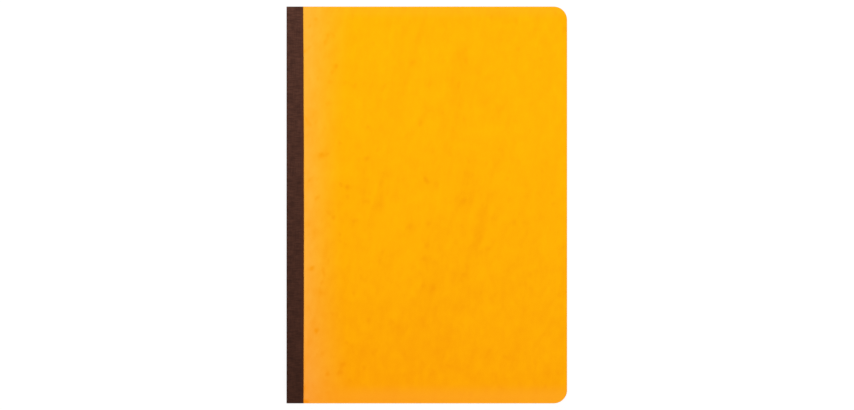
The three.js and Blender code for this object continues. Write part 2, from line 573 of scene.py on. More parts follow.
@dataclass(frozen=True)
class BookCloth:
    """Dark brown book cloth: a fine plain weave, starch filled, with painted shade in its furrows and
    painted light that falls off towards the tail.
    """

    ground: Colour = (0.0540, 0.0192, 0.0128)
    slub: Colour = (0.0950, 0.0350, 0.0225)
    weft_slubs: Noise = Noise(1500.0, 3.0, stretch=(9.0, 1.0, 1.0))
    warp_slubs: Noise = Noise(1500.0, stretch=(1.0, 14.0, 1.0))
    warp_share: float = 0.3
    slub_band: Span = (0.36, 0.64)
    furrow: Colour = (0.0310, 0.0115, 0.0080)
    furrow_share: float = 0.45
    clouds: Noise = Noise(170.0, 3.0)
    cloud_band: Span = (0.42, 0.75)
    cloud_share: float = 0.5
    stain: Colour = (0.0950, 0.0240, 0.0070)
    stain_band: Span = (9.4 * MM, 12.4 * MM)
    stain_share: float = 0.45
    head_tone: Colour = (1.21, 1.28, 1.28)
    tail_tone: Colour = (0.66, 0.62, 0.55)
    thread_pitch: float = 0.42 * MM
    relief_slubs: float = 0.25

    def material(self, plan: BookPlan) -> bpy.types.Material:
        """Makes the material of the tape, on its own chart: U round the spine and V along it.

        Args:
            plan: length of the spine.

        Returns:
            The material.
        """
        paint = Paint("book_cloth")
        chart = paint.chart()
        u, v, _ = paint.parts(chart)
        height = self._weave(u / self.thread_pitch, v / self.thread_pitch)
        weft, warp = paint.noise(chart, self.weft_slubs), paint.noise(chart, self.warp_slubs)
        slubs = weft * (1 - self.warp_share) + warp * self.warp_share
        clouds = paint.noise(chart, self.clouds)
        colour = paint.mix(slubs.rise(*self.slub_band), self.ground, self.slub)
        colour = paint.mix(clouds.rise(*self.cloud_band) * self.cloud_share, colour, self.furrow)
        # Painted shade in the furrows, where the weave is low between the threads.
        colour = paint.mix((1 - height) * self.furrow_share, colour, self.furrow)
        colour = paint.mix(u.rise(*self.stain_band) * self.stain_share, colour, self.stain)
        # Painted light and shade: lighter at the head and darker at the tail, as the light falls off.
        painted_light_falloff = paint.mix(v / plan.height, self.tail_tone, self.head_tone)
        colour = paint.mix(1.0, colour, painted_light_falloff, "MULTIPLY")
        relief = height * (1 - self.relief_slubs) + slubs * self.relief_slubs
        return paint.close(
            Base_Color=colour,
            Roughness=0.74 + 0.14 * clouds,
            Specular_IOR_Level=0.08,
            Normal=paint.bump(relief, strength=0.8, distance=0.07 * MM),
        )

    def _weave(self, warp: Term, weft: Term) -> Term:
        """Draws a plain weave.

        Args:
            warp: place across the warp threads, in threads.
            weft: place across the weft threads, in threads.

        Returns:
            The height of the thread that is uppermost there, between 0 and 1.
        """
        on_top = (warp.whole() + weft.whole()) % 2.0
        warp_ridge = (warp % 1.0 * math.pi).sine()
        weft_ridge = (weft % 1.0 * math.pi).sine()
        warp_height = warp_ridge * (0.5 + 0.5 * weft_ridge)
        weft_height = weft_ridge * (0.5 + 0.5 * warp_ridge)
        return warp_height * on_top + weft_height * (1 - on_top)


@dataclass(frozen=True)
class LedgerPaper:
    """Cream-white writing paper ruled in money columns, and plain where U is past the pages."""

    white: Colour = (0.895, 0.845, 0.745)
    shade: Colour = (0.84, 0.785, 0.675)
    grain: Noise = Noise(900.0, 3.0)
    grain_share: float = 0.15
    clouds: Noise = Noise(60.0)
    cloud_share: float = 0.25
    blue: Colour = (0.30, 0.48, 0.70)
    red: Colour = (0.76, 0.22, 0.21)
    red_share: float = 0.85
    digit_share: float = 0.5
    row_pitch: float = 7.5 * MM
    column_pitch: float = 24 * MM
    digit_pitch: float = 4 * MM
    first_column: float = 10 * MM
    cents_digits: int = 4
    columns_end: Mapping[Page, float] = field(
        default_factory=lambda: {Page.RECTO: 202 * MM, Page.VERSO: 106 * MM}
    )
    description_end: float = 184 * MM
    page_end: float = 202 * MM
    plain_from: float = 550 * MM
    head_margin: float = 34 * MM
    title_height: float = 12 * MM
    foot_margin: float = 9 * MM
    fine: float = 0.22 * MM
    finest: float = 0.176 * MM
    heavy: float = 0.34 * MM
    heavy_softness: float = 0.4
    column_gap: float = 0.8 * MM
    head_gap: float = 1.0 * MM

    def material(self, plan: BookPlan) -> bpy.types.Material:
        """Makes the material of the leaves, on their chart: U from the fold and V from the tail.

        Args:
            plan: height of the page.

        Returns:
            The material.
        """
        paint = Paint("ledger_paper")
        chart = paint.chart()
        u, v, _ = paint.parts(chart)
        page = 1 - u.above(self.plain_from)
        blue, red = self._ruling(u, v, plan.height - self.head_margin)
        grain = paint.noise(chart, self.grain)
        clouds = paint.noise(chart, self.clouds)
        colour = paint.mix(clouds * self.cloud_share + grain * self.grain_share, self.white, self.shade)
        colour = paint.mix(blue * page, colour, self.blue)
        colour = paint.mix(red * page * self.red_share, colour, self.red)
        return paint.close(
            Base_Color=colour,
            Roughness=0.82,
            Specular_IOR_Level=0.25,
            Normal=paint.bump(grain, strength=0.15, distance=0.02 * MM),
        )

    def _ruling(self, u: Term, v: Term, first_row: float) -> tuple[Term, Term]:
        """Rules both pages: a money page on the right, and a description with its columns on the left.

        Args:
            u: place on the chart from the fold outwards, page by page.
            v: place on the chart from the tail.
            first_row: place of the rule at the head of the columns.

        Returns:
            Where the blue and the red lines are.
        """
        verso = u.above(Page.VERSO.value - self.first_column / 2)
        across = u - verso * Page.VERSO.value
        above_foot = v.above(self.foot_margin)
        rows = v.line(self.row_pitch, first_row % self.row_pitch, self.fine)
        rows = rows * (1 - v.above(first_row + self.heavy)) * above_foot
        recto_end, verso_end = self.columns_end[Page.RECTO], self.columns_end[Page.VERSO]
        in_recto = (1 - verso) * (1 - across.above(recto_end - self.heavy))
        in_verso = verso * (1 - across.above(verso_end - self.heavy))
        in_page = in_recto + in_verso
        digits = across.line(self.digit_pitch, self.first_column, self.finest) * self.digit_share
        cents_line = self.first_column + self.cents_digits * self.digit_pitch
        digits = digits.most(across.line(self.column_pitch, cents_line, self.fine))
        digits = digits * across.above(self.first_column - self.heavy) * in_page
        half = self.column_gap / 2
        columns = across.line(self.column_pitch, self.first_column - half, self.fine)
        columns = columns.most(across.line(self.column_pitch, self.first_column + half, self.fine))
        columns = columns * across.above(self.first_column - self.heavy * 2)
        ends = in_page.most(self._near(across, verso_end) * verso)
        columns = columns * ends.most(self._near(across, recto_end) * (1 - verso))
        margins = self._near(across, self.description_end).most(self._near(across, self.page_end))
        tall = (1 - v.above(first_row + self.title_height)) * above_foot
        head = self._near(v, first_row).most(self._near(v, first_row + self.head_gap))
        head = head.most(self._near(v, first_row + self.title_height))
        return rows.most(digits * tall), (columns.most(margins * verso) * tall).most(head)

    def _near(self, where: Term, line: float) -> Term:
        """One heavy line at a place."""
        return (where - line).stroke(self.heavy, self.heavy_softness)


@dataclass(frozen=True)
class Endleaf:
    """Plain cream endpaper."""

    cream: Colour = (0.83, 0.79, 0.69)
    shade: Colour = (0.77, 0.725, 0.62)
    clouds: Noise = Noise(90.0, 4.0)
    cloud_band: Span = (0.3, 0.8)
    cloud_share: float = 0.6
    grain: Noise = Noise(1100.0)
    grain_share: float = 0.2

    def material(self) -> bpy.types.Material:
        """Makes the material of both leaves of an endpaper.

        Returns:
            The material.
        """
        paint = Paint("endpaper")
        chart = paint.chart()
        clouds = paint.noise(chart, self.clouds).rise(*self.cloud_band)
        grain = paint.noise(chart, self.grain)
        mask = clouds * self.cloud_share + grain * self.grain_share
        return paint.close(
            Base_Color=paint.mix(mask, self.cream, self.shade),
            Roughness=0.85,
            Specular_IOR_Level=0.25,
            Normal=paint.bump(grain, strength=0.2, distance=0.02 * MM),
        )


@dataclass(frozen=True)
class Fibre:
    """Undyed cotton: the sewing thread, or the crash and glue of the spine lining."""

    name: str
    light: Colour
    dark: Colour
    grain: Noise
    roughness: float

    def material(self) -> bpy.types.Material:
        """Makes the material, on Object coordinates.

        Returns:
            The material.
        """
        paint = Paint(self.name)
        grain = paint.noise(paint.place(), self.grain)
        return paint.close(
            Base_Color=paint.mix(grain, self.light, self.dark),
            Roughness=self.roughness,
            Specular_IOR_Level=0.25,
            Normal=paint.bump(grain, strength=0.5, distance=0.03 * MM),
        )


class Profile:
    """Cross-section of a bent sheet in X and Z: one side's line and then the other's, drawn alike."""

    def __init__(self, y: float) -> None:
        """Starts with nothing drawn.

        Args:
            y: place in Y of the plane that it lies in.
        """
        self.bm = bmesh.new()
        self.y = y
        self.last: bmesh.types.BMVert | None = None

    def start(self, x: float, z: float) -> Profile:
        """Starts a line at a place in X and Z."""
        self.last = self.bm.verts.new((x, self.y, z))
        return self

    def to(self, x: float, z: float, steps: int = 1) -> Profile:
        """Draws a straight stretch to a place in X and Z, in so many edges."""
        step = (Vector((x, self.y, z)) - self.last.co) / steps
        return self._spin((0.0, 0.0, 0.0), 0.0, step, steps)

    def turn(self, centre: tuple[float, float], angle: float, steps: int) -> Profile:
        """Draws an arc about a centre in X and Z, from +X towards +Z where the angle is positive."""
        return self._spin((centre[0], self.y, centre[1]), angle, Vector(), steps)

    def _spin(self, centre: Point, angle: float, slide: Vector, steps: int) -> Profile:
        """Draws a stretch by turning and sliding the last vertex.

        Args:
            centre: a point of the axis, which runs along Y.
            angle: how far the stretch turns in all.
            slide: how far each of its edges slides.
            steps: number of edges.

        Returns:
            The same profile.
        """
        made = bmesh.ops.spin(
            self.bm,
            geom=[self.last],
            cent=centre,
            axis=(0.0, -1.0, 0.0),
            dvec=slide,
            angle=angle,
            steps=steps,
        )
        self.last = next(part for part in made["geom_last"] if isinstance(part, bmesh.types.BMVert))
        return self

    def solid(self, depth: float, slices: int = 1) -> bmesh.types.BMesh:
        """Fills the strip between the two lines with a row of faces, and draws it along +Y.

        Args:
            depth: length of the solid.
            slices: number of slices along it.

        Returns:
            The closed solid.
        """
        bmesh.ops.bridge_loops(self.bm, edges=self.bm.edges[:])
        bmesh.ops.spin(
            self.bm,
            geom=self.bm.faces[:],
            cent=(0.0, 0.0, 0.0),
            axis=(0.0, 1.0, 0.0),
            dvec=(0.0, depth / slices, 0.0),
            angle=0.0,
            steps=slices,
        )
        return self.bm


def piece_from(
    name: str,
    bm: bmesh.types.BMesh,
    materials: Sequence[bpy.types.Material],
    crease: float = 32.0,
) -> bpy.types.Object:
    """Makes an object of a finished mesh, with its normals pointing out.

    Args:
        name: name of the piece.
        bm: its mesh, which is freed.
        materials: its material slots, in order.
        crease: least angle between two faces, in degrees, that shows as an edge.

    Returns:
        The new object, linked to the scene.
    """
    bmesh.ops.recalc_face_normals(bm, faces=bm.faces[:])
    mesh = bpy.data.meshes.new(name)
    for face in bm.faces:
        face.smooth = True
    bm.to_mesh(mesh)
    bm.free()
    mesh.set_sharp_from_angle(angle=math.radians(crease))
    for material in materials:
        mesh.materials.append(material)
    made = bpy.data.objects.new(name, mesh)
    bpy.context.scene.collection.objects.link(made)
    return made


@dataclass
class Cover:
    """One pressboard cover: a flush-cut board with a shallow bed for the tape's flap."""

    side: Side
    plan: BookPlan
    finish: Pressboard
    rim: float = 0.07 * MM
    rim_steps: int = 2
    rim_angle: float = math.radians(60)
    corner_steps: int = 24
    bed_margin: float = 0.70 * MM
    bed_wall: float = 0.05 * MM
    crease: float = 10.0
    flat_z: float = 0.8

    def build(self) -> bpy.types.Object:
        """Builds the board and sets it on its cover's body.

        Returns:
            The piece.
        """
        plan = self.plan
        bm = self._plate()
        self._press_bed(bm)
        self._round_rims(bm)
        shift = plan.board_face - plan.board_thickness
        if self.side is Side.BACK:
            bmesh.ops.scale(bm, verts=bm.verts[:], vec=(1.0, 1.0, -1.0))
            shift = plan.top + plan.bottom - shift
        bmesh.ops.translate(bm, verts=bm.verts[:], vec=(0.0, 0.0, shift))
        bm.normal_update()
        for face in bm.faces:
            face.material_index = 0 if abs(face.normal.z) > self.flat_z else 1
        node = f"{self.side.word}_board"
        materials = [self.finish.face(plan), self.finish.cut()]
        made = piece_from(f"{node}_pressboard", bm, materials, self.crease)
        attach(made, self.side.cover)
        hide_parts(node)
        return made

    def _plate(self) -> bmesh.types.BMesh:
        """Cuts the board: square at the spine, and round at the fore-edge.

        Returns:
            Its mesh, with the inner face at a height of 0.
        """
        plan = self.plan
        bm = bmesh.new()
        outline = [
            bm.verts.new((x, y, 0.0))
            for x, y in (
                (plan.board_edge, plan.tail),
                (plan.fore_edge, plan.tail),
                (plan.fore_edge, plan.head),
                (plan.board_edge, plan.head),
            )
        ]
        bm.faces.new(outline)
        bmesh.ops.bevel(
            bm,
            geom=outline[1:3],
            offset=plan.corner_radius,
            offset_type="OFFSET",
            segments=self.corner_steps,
            profile=0.5,
            affect="VERTICES",
            material=-1,
        )
        raised = bmesh.ops.extrude_face_region(bm, geom=bm.faces[:])["geom"]
        top = [v for v in raised if isinstance(v, bmesh.types.BMVert)]
        bmesh.ops.translate(bm, verts=top, vec=(0.0, 0.0, plan.board_thickness))
        return bm

    def _press_bed(self, bm: bmesh.types.BMesh) -> None:
        """Sinks the outer face where the tape's flap is pressed in.

        Args:
            bm: the board, with its outer face up.
        """
        plan = self.plan
        depth = plan.board_face - (plan.top - plan.tape_thickness)
        foot = plan.tape_edge + self.bed_margin
        for x in (foot + self.bed_wall, foot):
            geometry = bm.verts[:] + bm.edges[:] + bm.faces[:]
            bmesh.ops.bisect_plane(bm, geom=geometry, plane_co=(x, 0, 0), plane_no=(1, 0, 0))
        upper = [v for v in bm.verts if v.co.z > plan.board_thickness / 2]
        sunk = [v for v in upper if v.co.x < foot + self.bed_wall / 2]
        bmesh.ops.translate(bm, verts=sunk, vec=(0.0, 0.0, -depth))

    def _round_rims(self, bm: bmesh.types.BMesh) -> None:
        """Rounds the cut edges a little, as handling does.

        Args:
            bm: the board.
        """
        bm.normal_update()
        rims = [
            e
            for e in bm.edges
            if len(e.link_faces) == 2
            and e.calc_face_angle(0.0) > self.rim_angle
            and abs(e.verts[0].co.z - e.verts[1].co.z) < TOUCH
            and min(v.co.x for v in e.verts) > self.plan.tape_edge
        ]
        bmesh.ops.bevel(
            bm,
            geom=rims,
            offset=self.rim,
            offset_type="OFFSET",
            segments=self.rim_steps,
            profile=0.5,
            affect="EDGES",
            material=-1,
            clamp_overlap=True,
        )


@dataclass
class SpineTape:
    """Cloth tape glued round the spine and onto each cover, in three lengths."""

    plan: BookPlan
    finish: BookCloth
    bend_radius: float = 0.25 * MM
    cover_bend: float = 0.8 * MM
    middle_bend: float = 0.6 * MM
    strip_half: float = 1.4 * MM
    wall_foot: float = 1.5 * MM
    flap_steps: int = 3
    bend_steps: int = 8
    wall_steps: int = 6
    strip_steps: int = 22
    slices: int = 66
    laid_from: float = 0.6
    bow: float = 0.44 * MM
    waver: float = 0.03 * MM
    waver_turn: float = 31.0
    head_draw: float = 0.02 * MM
    tail_draw: float = -0.20 * MM

    def build(self) -> list[bpy.types.Object]:
        """Builds both flaps with their part of the spine, and the strip at the middle opening."""
        cloth = self.finish.material(self.plan)
        return [self._flap(Side.FRONT, cloth), self._flap(Side.BACK, cloth), self._strip(cloth)]

    def _flap(self, side: Side, cloth: bpy.types.Material) -> bpy.types.Object:
        """Lays the tape on one cover, round the spine's corner and down to the middle strip.

        Args:
            side: the cover.
            cloth: the tape's material.

        Returns:
            The piece.
        """
        plan = self.plan
        low = plan.middle + self.strip_half
        turn_centre = (plan.spine + self.bend_radius, plan.top - self.bend_radius)
        profile = Profile(plan.tail)
        for depth in (0.0, plan.tape_thickness):
            profile.start(plan.tape_edge, plan.top - depth)
            profile.to(turn_centre[0], plan.top - depth, self.flap_steps)
            profile.turn(turn_centre, QUARTER, self.bend_steps)
            profile.to(plan.spine + depth, low + self.wall_foot, self.wall_steps)
            profile.to(plan.spine + depth, low)
        bm = profile.solid(plan.height, self.slices)
        self._trim_edge(bm)
        self._chart(bm)
        corner_z = plan.top
        if side is Side.BACK:
            corner_z = plan.bottom
            bmesh.ops.scale(bm, verts=bm.verts[:], vec=(1.0, 1.0, -1.0))
            bmesh.ops.translate(bm, verts=bm.verts[:], vec=(0.0, 0.0, plan.top + plan.bottom))
        made = piece_from(f"{side.word}_cloth_tape", bm, [cloth])
        corner_z - side.value * self.cover_bend
        plan.spine + self.bend_radius
        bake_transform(made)
        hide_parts(f"{side.word}_tape_flap", f"{side.word}_tape_spine")
        return made

    def _strip(self, cloth: bpy.types.Material) -> bpy.types.Object:
        """Lays the tape over the middle of the spine.

        Args:
            cloth: the tape's material.

        Returns:
            The piece.
        """
        plan = self.plan
        low, high = plan.middle - self.strip_half, plan.middle + self.strip_half
        profile = Profile(plan.tail)
        for x in (plan.spine, plan.spine + plan.tape_thickness):
            profile.start(x, high).to(x, low, self.strip_steps)
        bm = profile.solid(plan.height, self.slices)
        self._chart(bm)
        made = piece_from("spine_middle_cloth_tape", bm, [cloth])
        plan.middle - self.middle_bend
        plan.middle + self.middle_bend
        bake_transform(made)
        return made

    def _trim_edge(self, bm: bmesh.types.BMesh) -> None:
        """Lets the flap's edge bow and waver a little along its length, as hand-laid tape does.

        Args:
            bm: the flap.
        """
        plan = self.plan
        for vertex in bm.verts:
            reach = (vertex.co.x - plan.spine) / (plan.tape_edge - plan.spine)
            if reach < self.laid_from:
                continue
            along = (vertex.co.y - plan.tail) / plan.height
            shift = self.bow * 4 * along * (1 - along) + self.waver * math.sin(self.waver_turn * along)
            shift -= self.tail_draw * (1 - along) + self.head_draw * along
            vertex.co.x += shift * (reach - self.laid_from) / (1 - self.laid_from)

    def _chart(self, bm: bmesh.types.BMesh) -> None:
        """Lays the chart: U round the profile and V along the spine.

        Args:
            bm: a length of the tape.
        """
        plan = self.plan
        layer = bm.loops.layers.uv.new("UVMap")
        for face in bm.faces:
            for loop in face.loops:
                x, y, z = loop.vert.co
                loop[layer].uv = ((x - plan.spine) - (z - plan.top), y - plan.tail)


@dataclass(frozen=True)
class FoldPlan:
    """Cross-section of one folded sheet, about the height of its fold line."""

    fold_centre: float
    fold_end: float
    fore_edge: float
    inner_level: float
    outer_level: float
    inner_radius: float
    outer_radius: float
    bend_half: float = 0.0


@dataclass
class FoldedSheet:
    """A sheet of paper folded at the spine, with round corners at the fore-edge."""

    plan: BookPlan
    fold: FoldPlan
    centre: float
    corner_steps: int = 20
    fold_steps: int = 9
    bend_rows: int = 32
    trim_depth: float = 0.1 * MM
    trim_slope: float = 0.1

    def mesh(self) -> bmesh.types.BMesh:
        """Builds the sheet's solid.

        Returns:
            Its mesh, charted for the ruling.
        """
        fold, centre = self.fold, self.centre
        profile = Profile(self.plan.tail)
        outer, inner = (fold.outer_level, fold.outer_radius), (fold.inner_level, fold.inner_radius)
        for level, radius in (outer, inner):
            profile.start(fold.fore_edge, centre + level).to(fold.fold_end, centre + level)
            profile.to(fold.fold_centre, centre + radius)
            self._round(profile, radius)
            profile.to(fold.fold_end, centre - level).to(fold.fore_edge, centre - level)
        bm = profile.solid(self.plan.height)
        self._round_corners(bm)
        self._chart(bm)
        return bm

    def _round(self, profile: Profile, radius: float) -> None:
        """Draws the half-round of the fold, with finer rows across the middle of it.

        Args:
            profile: the sheet's cross-section so far.
            radius: radius of the face that is being drawn.
        """
        pivot = (self.fold.fold_centre, self.centre)
        fine = math.asin(self.fold.bend_half / radius)
        profile.turn(pivot, QUARTER - fine, self.fold_steps)
        if self.fold.bend_half:
            profile.turn(pivot, 2 * fine, self.bend_rows)
        profile.turn(pivot, QUARTER - fine, self.fold_steps)

    def _round_corners(self, bm: bmesh.types.BMesh) -> None:
        """Cuts the fore-edge corners round.

        Args:
            bm: the sheet.
        """
        corners = [
            e
            for e in bm.edges
            if all(abs(v.co.x - self.fold.fore_edge) < TOUCH for v in e.verts)
            and abs(e.verts[0].co.y - e.verts[1].co.y) < TOUCH
        ]
        bmesh.ops.bevel(
            bm,
            geom=corners,
            offset=self.plan.corner_radius,
            offset_type="OFFSET",
            segments=self.corner_steps,
            profile=0.5,
            affect="EDGES",
            material=-1,
        )

    def _chart(self, bm: bmesh.types.BMesh) -> None:
        """Lays the chart: U from the fold on each page, and V from the tail.

        Args:
            bm: the sheet.
        """
        bmesh.ops.recalc_face_normals(bm, faces=bm.faces[:])
        layer = bm.loops.layers.uv.new("UVMap")
        trimmed = self.fold.fore_edge - self.trim_depth
        for face in bm.faces:
            page = Page.CUT
            if abs(face.normal.y) < self.trim_slope and face.calc_center_median().x < trimmed:
                page = Page.RECTO if face.normal.z > 0 else Page.VERSO
            for loop in face.loops:
                x, y, _ = loop.vert.co
                loop[layer].uv = (page.value + x - self.fold.fold_centre, y - self.plan.tail)


@dataclass
class BookBlock:
    """Five sewn sections of four folded ledger sheets each."""

    plan: BookPlan
    finish: LedgerPaper
    sections: int = 5
    sheets: int = 4
    leaf_thickness: float = 0.13 * MM
    leaf_gap: float = 0.02 * MM
    fold_gap: float = 0.01 * MM
    fold_length: float = 2.4 * MM
    inner_radius: float = 0.16 * MM

    def build(self) -> list[bpy.types.Object]:
        """Builds every sheet, and sets each one outside the middle section on its half.

        Returns:
            The pieces.
        """
        paper = self.finish.material(self.plan)
        return [
            self._sheet(number, order, paper)
            for number in range(1, self.sections + 1)
            for order in range(1, self.sheets + 1)
        ]

    def _is_middle(self, number: int) -> bool:
        """True for the section that the middle opening goes through."""
        return 2 * number == self.sections + 1

    def _nodes(self, number: int, order: int) -> list[str]:
        """Names the solids that a sheet stands for.

        Args:
            number: the section, counted from the front cover.
            order: the sheet in it, counted from the outside.

        Returns:
            The names of one solid, or of two leaves in the middle section.
        """
        name = f"section_{number}_sheet_{order}"
        if self._is_middle(number):
            return [f"{name}_upper_leaf", f"{name}_lower_leaf"]
        return [name]

    def _fold_plan(self, number: int, order: int) -> tuple[FoldPlan, float]:
        """Works out one sheet's fold from the boxes of its solids.

        Args:
            number: the section, counted from the front cover.
            order: the sheet in it, counted from the outside.

        Returns:
            The sheet's cross-section, and the height of the fold line.
        """
        boxes = [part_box(node) for node in self._nodes(number, order)]
        low_x = min(low.x for low, _ in boxes)
        high_x = max(high.x for _, high in boxes)
        low_z = min(low.z for low, _ in boxes)
        high_z = max(high.z for _, high in boxes)
        place = self.sheets - order
        half = self.sheets * (self.leaf_thickness + self.leaf_gap) - self.fold_gap
        squeezed = (half - self.inner_radius - (self.sheets - 1) * self.fold_gap) / self.sheets
        inner_radius = self.inner_radius + place * (squeezed + self.fold_gap)
        inner_level = place * (self.leaf_thickness + self.leaf_gap) + self.leaf_gap / 2
        fold_centre = low_x + inner_radius + squeezed
        fold = FoldPlan(
            fold_centre=fold_centre,
            fold_end=fold_centre + self.fold_length,
            fore_edge=high_x,
            inner_level=inner_level,
            outer_level=inner_level + self.leaf_thickness,
            inner_radius=inner_radius,
            outer_radius=inner_radius + squeezed,
            bend_half=inner_level if self._is_middle(number) else 0.0,
        )
        return fold, (low_z + high_z) / 2

    def _sheet(self, number: int, order: int, paper: bpy.types.Material) -> bpy.types.Object:
        """Builds one sheet.

        Args:
            number: the section, counted from the front cover.
            order: the sheet in it, counted from the outside.
            paper: its material.

        Returns:
            The piece.
        """
        fold, centre = self._fold_plan(number, order)
        sheet = FoldedSheet(self.plan, fold, centre).mesh()
        made = piece_from(f"section_{number}_sheet_{order}_paper", sheet, [paper])
        if self._is_middle(number):
            leaf = "centre_leaf" if order == self.sheets else Side.FRONT.half
            reach = fold.bend_half
            centre - reach
            centre + reach
            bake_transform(made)
        else:
            side = Side.FRONT if 2 * number < self.sections + 1 else Side.BACK
            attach(made, side.half)
        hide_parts(*self._nodes(number, order))
        return made


@dataclass
class Endpaper:
    """A folded endpaper: its outer leaf is pasted to the board and its inner one is free."""

    side: Side
    plan: BookPlan
    finish: Endleaf
    bend_share: float = 0.98

    def build(self) -> bpy.types.Object:
        """Builds the folded sheet across the cover's hinge.

        Returns:
            The piece.
        """
        word = self.side.word
        pasted_low, pasted_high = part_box(f"{word}_pastedown")
        free_low, free_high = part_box(f"{word}_flyleaf")
        thickness = pasted_high.z - pasted_low.z
        gap = abs((pasted_low.z + pasted_high.z) - (free_low.z + free_high.z)) / 2 - thickness
        centre = (pasted_low.z + pasted_high.z + free_low.z + free_high.z) / 4
        fold = FoldPlan(
            fold_centre=free_low.x + gap / 2 + thickness,
            fold_end=free_low.x + 2 * thickness + gap,
            fore_edge=pasted_high.x,
            inner_level=gap / 2,
            outer_level=gap / 2 + thickness,
            inner_radius=gap / 2,
            outer_radius=gap / 2 + thickness,
            bend_half=gap / 2 * self.bend_share,
        )
        sheet = FoldedSheet(self.plan, fold, centre).mesh()
        made = piece_from(f"{word}_endpaper", sheet, [self.finish.material()])
        reach = self.side.value * fold.bend_half
        centre - reach
        centre + reach
        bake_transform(made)
        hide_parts(f"{word}_pastedown", f"{word}_flyleaf")
        return made


@dataclass
class Sewing:
    """The thread of each section, and the lining that beds its loops."""

    plan: BookPlan
    cotton: Fibre = Fibre(
        "sewing_cotton",
        light=(0.88, 0.86, 0.79),
        dark=(0.70, 0.67, 0.58),
        grain=Noise(4000.0, 3.0),
        roughness=0.7,
    )
    crash: Fibre = Fibre(
        "crash_and_glue",
        light=(0.72, 0.64, 0.46),
        dark=(0.50, 0.42, 0.27),
        grain=Noise(2500.0, 3.0),
        roughness=0.85,
    )
    sections: int = 5
    stations: int = 6
    kettle_inset: float = 15 * MM
    loop_length: float = 2.5 * MM
    thread_radius: float = 0.13 * MM
    bend_radius: float = 0.2 * MM
    bend_fullness: float = 0.6
    twist: float = 1.1 * MM
    twist_steps: int = 8
    merge: float = 0.0005 * MM

    def build(self) -> bpy.types.Object:
        """Twists the thread that the open book shows, and finishes the solids hidden in the spine.

        Returns:
            The twisted thread.
        """
        cotton = self.cotton.material()
        crash = self.crash.material()
        middle = (self.sections + 1) // 2
        for number in range(1, self.sections + 1):
            if number != middle:
                self._finish(f"section_{number}_thread", cotton)
        for side in Side:
            self._finish(f"{side.word}_spine_lining", crash)
        return self._twisted(f"section_{middle}_thread", cotton)

    def _finish(self, node: str, material: bpy.types.Material) -> None:
        """Gives one carried-over solid its material.

        Args:
            node: the solid.
            material: its material.
        """
        materials = bpy.data.objects[node].data.materials
        materials.clear()
        materials.append(material)

    def _twisted(self, node: str, cotton: bpy.types.Material) -> bpy.types.Object:
        """Builds the two-ply thread in the middle of the book.

        Args:
            node: the plain thread that it stands for.
            cotton: its material.

        Returns:
            The piece.
        """
        low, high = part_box(node)
        height = (low.z + high.z) / 2
        route = self._route(low.x + self.thread_radius, high.x - self.thread_radius)
        curve = bpy.data.curves.new(f"{node}_plies", "CURVE")
        curve.dimensions = "3D"
        curve.bevel_depth = self.thread_radius / 2
        curve.bevel_resolution = 1
        curve.use_fill_caps = True
        for phase in (0.0, math.pi):
            points = self._ply(route, height, phase)
            spline = curve.splines.new("POLY")
            spline.points.add(len(points) - 1)
            for point, place in zip(spline.points, points):
                point.co = (*place, 1.0)
        shape = bpy.data.objects.new(curve.name, curve)
        mesh = bpy.data.meshes.new_from_object(shape)
        bpy.data.objects.remove(shape)
        bm = bmesh.new()
        bm.from_mesh(mesh)
        bpy.data.meshes.remove(mesh)
        bmesh.ops.remove_doubles(bm, verts=bm.verts[:], dist=self.merge)
        made = piece_from(f"{node}_twisted", bm, [cotton])
        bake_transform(made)
        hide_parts(node)
        return made

    def _route(self, behind: float, inside: float) -> list[Vector]:
        """Lays out the thread's middle line in X and Y.

        Args:
            behind: place in X of the loops behind the fold.
            inside: place in X of the runs inside the fold.

        Returns:
            The points, in order from the tail to the head.
        """
        half = self.loop_length / 2
        first = self.plan.tail + self.kettle_inset
        pitch = (self.plan.height - 2 * self.kettle_inset) / (self.stations - 1)
        turns = []
        for station in range(self.stations):
            y = first + station * pitch
            turns += [Vector((x, y - half)) for x in (inside, behind)]
            turns += [Vector((x, y + half)) for x in (behind, inside)]
        turns = turns[1:-1]
        points = [turns[0]]
        full = self.bend_fullness
        for before, corner, after in zip(turns, turns[1:], turns[2:]):
            start = corner + (before - corner).normalized() * self.bend_radius
            end = corner + (after - corner).normalized() * self.bend_radius
            points += [start, start.lerp(corner, full).lerp(corner.lerp(end, 1 - full), 0.5), end]
        points.append(turns[-1])
        return points

    def _ply(self, route: Sequence[Vector], height: float, phase: float) -> list[Vector]:
        """Winds one ply round the thread's middle line.

        Args:
            route: middle line of the thread in X and Y.
            height: its height.
            phase: where the ply starts round it.

        Returns:
            The ply's points.
        """
        points = []
        travelled = 0.0
        for start, end in zip(route, route[1:]):
            length = (end - start).length
            along = (end - start) / length
            count = max(1, round(length / (self.twist / self.twist_steps)))
            for step in range(count):
                share = step / count
                angle = phase + 2 * math.pi * (travelled + length * share) / self.twist
                across = self.thread_radius / 2 * math.cos(angle)
                rise = self.thread_radius / 2 * math.sin(angle)
                place = start.lerp(end, share) + Vector((-along.y, along.x)) * across
                points.append(Vector((place.x, place.y, height + rise)))
            travelled += length
        return points


@dataclass(frozen=True)
class Softbox:
    """Square lamp that faces the book."""

    name: str
    place: Point
    size: float
    watts: float

    def hang(self) -> None:
        """Hangs the lamp."""
        light = bpy.data.lights.new(self.name, "AREA")
        light.shape = "SQUARE"
        light.size = self.size
        light.energy = self.watts
        lamp = bpy.data.objects.new(self.name, light)
        bpy.context.scene.collection.objects.link(lamp)
        lamp.location = self.place
        lamp.rotation_mode = "QUATERNION"
        lamp.rotation_quaternion = (-Vector(self.place)).to_track_quat("-Z", "Y")


